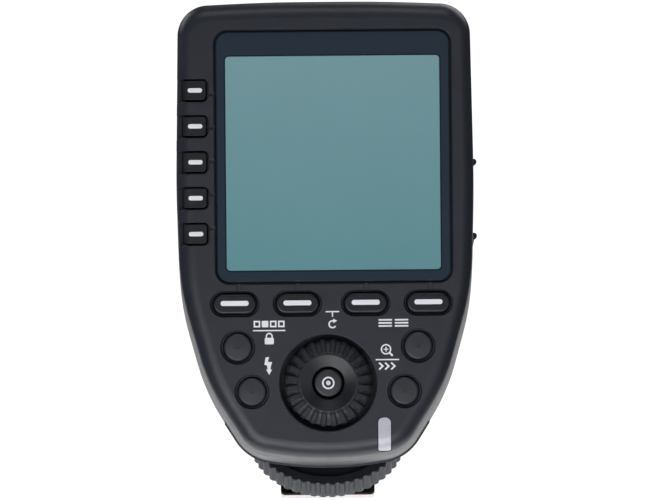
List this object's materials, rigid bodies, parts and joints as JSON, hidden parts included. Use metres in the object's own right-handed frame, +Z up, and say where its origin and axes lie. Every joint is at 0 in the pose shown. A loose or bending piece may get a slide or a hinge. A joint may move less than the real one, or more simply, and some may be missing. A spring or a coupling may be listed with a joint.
{
  "type": "wireless flash trigger",
  "caption": "Radio flash trigger for a camera's hot shoe: a tilted handset with a square display, keys and a ribbed dial over a lobed lock ring and metal foot.",
  "frame": {"origin": "centre of the shoe foot's underside", "axes": "+Z up along the foot's axis, -Y towards the user behind the camera, +X to the user's right; the handset's face leans back 45 degrees, so its normal is (0, -0.7071, 0.7071)"},
  "size_m": [0.0581, 0.0787, 0.0939],
  "materials": {
    "shell_plastic": "fine texture, satin",
    "window_clear": "clear, gloss",
    "lcd": "teal, semi gloss",
    "light_guide": "clear acrylic, gloss",
    "key_rubber": "satin",
    "dial_plastic": "satin",
    "lamp_clear": "frosted, satin",
    "ring_plastic": "satin",
    "foot_metal": "brushed, plated",
    "collar_metal": "black anodised",
    "screw_steel": "black zinc",
    "contact_brass": "gold plated",
    "spring_steel": "bright wire",
    "nickel_plate": "nickel plated",
    "board": "solder mask",
    "chip": "matt",
    "can": "tinned",
    "assist_red": "deep red, gloss",
    "socket_black": "semi gloss",
    "cell_wrap": "printed foil, gloss",
    "film": "polyimide, satin",
    "carrier_black": "matt"
  },
  "bodies": {
    "handset": {"front_shell": "shell_plastic", "rear_shell": "shell_plastic", "screen_window": "window_clear", "lcd_panel": "lcd", "lcd_light_guide": "light_guide", "lcd_ribbon": "film", "main_board": "board", "key_switches": "chip", "dial_encoder": "socket_black", "status_lamp": "lamp_clear", "status_led": "lamp_clear", "processor_chip": "chip", "radio_module": "can", "antenna": "contact_brass", "beeper": "chip", "slide_switch_bases": "nickel_plate", "usb_socket_shell": "nickel_plate", "usb_socket_tongue": "socket_black", "sync_socket": "socket_black", "battery_cell_left": "cell_wrap", "battery_cell_right": "cell_wrap", "contact_bridge": "nickel_plate", "contact_plates": "nickel_plate", "contact_springs": "spring_steel", "shell_screws": "screw_steel", "assist_lamp_lens": "assist_red", "assist_lamp_emitter": "lamp_clear", "emitter_board": "board", "foot_plate": "foot_metal", "contact_carrier": "carrier_black", "foot_springs": "spring_steel", "threaded_collar": "collar_metal", "foot_screws": "screw_steel", "collar_screws": "screw_steel"},
    "group_button_1_body": {"group_button_1": "key_rubber"},
    "group_button_2_body": {"group_button_2": "key_rubber"},
    "group_button_3_body": {"group_button_3": "key_rubber"},
    "group_button_4_body": {"group_button_4": "key_rubber"},
    "group_button_5_body": {"group_button_5": "key_rubber"},
    "function_button_1_body": {"function_button_1": "key_rubber"},
    "function_button_2_body": {"function_button_2": "key_rubber"},
    "function_button_3_body": {"function_button_3": "key_rubber"},
    "function_button_4_body": {"function_button_4": "key_rubber"},
    "mode_button_body": {"mode_button": "key_rubber"},
    "test_button_body": {"test_button": "key_rubber"},
    "menu_button_body": {"menu_button": "key_rubber"},
    "zoom_button_body": {"zoom_button": "key_rubber"},
    "set_button_body": {"set_button": "dial_plastic"},
    "dial_body": {"select_dial": "dial_plastic"},
    "power_switch_body": {"power_switch": "dial_plastic"},
    "assist_switch_body": {"assist_switch": "dial_plastic"},
    "cover_body": {"battery_cover": "shell_plastic"},
    "washer_body": {"pressure_washer": "nickel_plate"},
    "ring_body": {"lock_ring": "ring_plastic"},
    "lock_pin_body": {"lock_pin": "foot_metal"},
    "centre_contact_pin_body": {"centre_contact_pin": "contact_brass"},
    "contact_pin_1_body": {"contact_pin_1": "contact_brass"},
    "contact_pin_2_body": {"contact_pin_2": "contact_brass"},
    "contact_pin_3_body": {"contact_pin_3": "contact_brass"},
    "contact_pin_4_body": {"contact_pin_4": "contact_brass"}
  },
  "joints": [
    {"name": "group_button_1_press", "type": "slide", "parent": "handset", "child": "group_button_1_body", "axis": [0, 0.7071, -0.7071], "range_m": [0, 0.0005], "stiffness_N_per_m": 900},
    {"name": "group_button_2_press", "type": "slide", "parent": "handset", "child": "group_button_2_body", "axis": [0, 0.7071, -0.7071], "range_m": [0, 0.0005], "stiffness_N_per_m": 900},
    {"name": "group_button_3_press", "type": "slide", "parent": "handset", "child": "group_button_3_body", "axis": [0, 0.7071, -0.7071], "range_m": [0, 0.0005], "stiffness_N_per_m": 900},
    {"name": "group_button_4_press", "type": "slide", "parent": "handset", "child": "group_button_4_body", "axis": [0, 0.7071, -0.7071], "range_m": [0, 0.0005], "stiffness_N_per_m": 900},
    {"name": "group_button_5_press", "type": "slide", "parent": "handset", "child": "group_button_5_body", "axis": [0, 0.7071, -0.7071], "range_m": [0, 0.0005], "stiffness_N_per_m": 900},
    {"name": "function_button_1_press", "type": "slide", "parent": "handset", "child": "function_button_1_body", "axis": [0, 0.7071, -0.7071], "range_m": [0, 0.0005], "stiffness_N_per_m": 900},
    {"name": "function_button_2_press", "type": "slide", "parent": "handset", "child": "function_button_2_body", "axis": [0, 0.7071, -0.7071], "range_m": [0, 0.0005], "stiffness_N_per_m": 900},
    {"name": "function_button_3_press", "type": "slide", "parent": "handset", "child": "function_button_3_body", "axis": [0, 0.7071, -0.7071], "range_m": [0, 0.0005], "stiffness_N_per_m": 900},
    {"name": "function_button_4_press", "type": "slide", "parent": "handset", "child": "function_button_4_body", "axis": [0, 0.7071, -0.7071], "range_m": [0, 0.0005], "stiffness_N_per_m": 900},
    {"name": "mode_button_press", "type": "slide", "parent": "handset", "child": "mode_button_body", "axis": [0, 0.7071, -0.7071], "range_m": [0, 0.0005], "stiffness_N_per_m": 900},
    {"name": "test_button_press", "type": "slide", "parent": "handset", "child": "test_button_body", "axis": [0, 0.7071, -0.7071], "range_m": [0, 0.0005], "stiffness_N_per_m": 900},
    {"name": "menu_button_press", "type": "slide", "parent": "handset", "child": "menu_button_body", "axis": [0, 0.7071, -0.7071], "range_m": [0, 0.0005], "stiffness_N_per_m": 900},
    {"name": "zoom_button_press", "type": "slide", "parent": "handset", "child": "zoom_button_body", "axis": [0, 0.7071, -0.7071], "range_m": [0, 0.0005], "stiffness_N_per_m": 900},
    {"name": "set_button_press", "type": "slide", "parent": "handset", "child": "set_button_body", "axis": [0, 0.7071, -0.7071], "range_m": [0, 0.0005], "stiffness_N_per_m": 900},
    {"name": "select_dial_turn", "type": "hinge", "parent": "handset", "child": "dial_body", "pos_m": [0.0003, -0.01831, 0.0432], "axis": [0, -0.7071, 0.7071], "continuous": true},
    {"name": "power_switch_slide", "type": "slide", "parent": "handset", "child": "power_switch_body", "axis": [0, 0.7071, 0.7071], "range_m": [0, 0.003]},
    {"name": "assist_switch_slide", "type": "slide", "parent": "handset", "child": "assist_switch_body", "axis": [0, 0.7071, 0.7071], "range_m": [0, 0.003]},
    {"name": "battery_cover_slide", "type": "slide", "parent": "handset", "child": "cover_body", "axis": [0, 0.7071, 0.7071], "range_m": [0, 0.06]},
    {"name": "washer_travel", "type": "slide", "parent": "handset", "child": "washer_body", "axis": [0, 0, -1], "range_m": [0, 0.0032]},
    {"name": "lock_ring_turn", "type": "hinge", "parent": "washer_body", "child": "ring_body", "pos_m": [0, 0, 0.009], "axis": [0, 0, -1], "range_deg": [0, 1371.5]},
    {"name": "lock_pin_travel", "type": "slide", "parent": "handset", "child": "lock_pin_body", "axis": [0, 0, -1], "range_m": [0, 0.0016], "deforming": ["foot_springs"]},
    {"name": "centre_contact_pin_spring", "type": "slide", "parent": "handset", "child": "centre_contact_pin_body", "axis": [0, 0, 1], "range_m": [0, 0.0006], "stiffness_N_per_m": 900, "deforming": ["foot_springs"]},
    {"name": "contact_pin_1_spring", "type": "slide", "parent": "handset", "child": "contact_pin_1_body", "axis": [0, 0, 1], "range_m": [0, 0.0006], "stiffness_N_per_m": 900, "deforming": ["foot_springs"]},
    {"name": "contact_pin_2_spring", "type": "slide", "parent": "handset", "child": "contact_pin_2_body", "axis": [0, 0, 1], "range_m": [0, 0.0006], "stiffness_N_per_m": 900, "deforming": ["foot_springs"]},
    {"name": "contact_pin_3_spring", "type": "slide", "parent": "handset", "child": "contact_pin_3_body", "axis": [0, 0, 1], "range_m": [0, 0.0006], "stiffness_N_per_m": 900, "deforming": ["foot_springs"]},
    {"name": "contact_pin_4_spring", "type": "slide", "parent": "handset", "child": "contact_pin_4_body", "axis": [0, 0, 1], "range_m": [0, 0.0006], "stiffness_N_per_m": 900, "deforming": ["foot_springs"]}
  ],
  "couplings": [
    {"joint": "lock_ring_turn", "follows": "washer_travel", "rad_per_m": 7480},
    {"joint": "lock_pin_travel", "follows": "washer_travel", "ratio": 0.5}
  ]
}
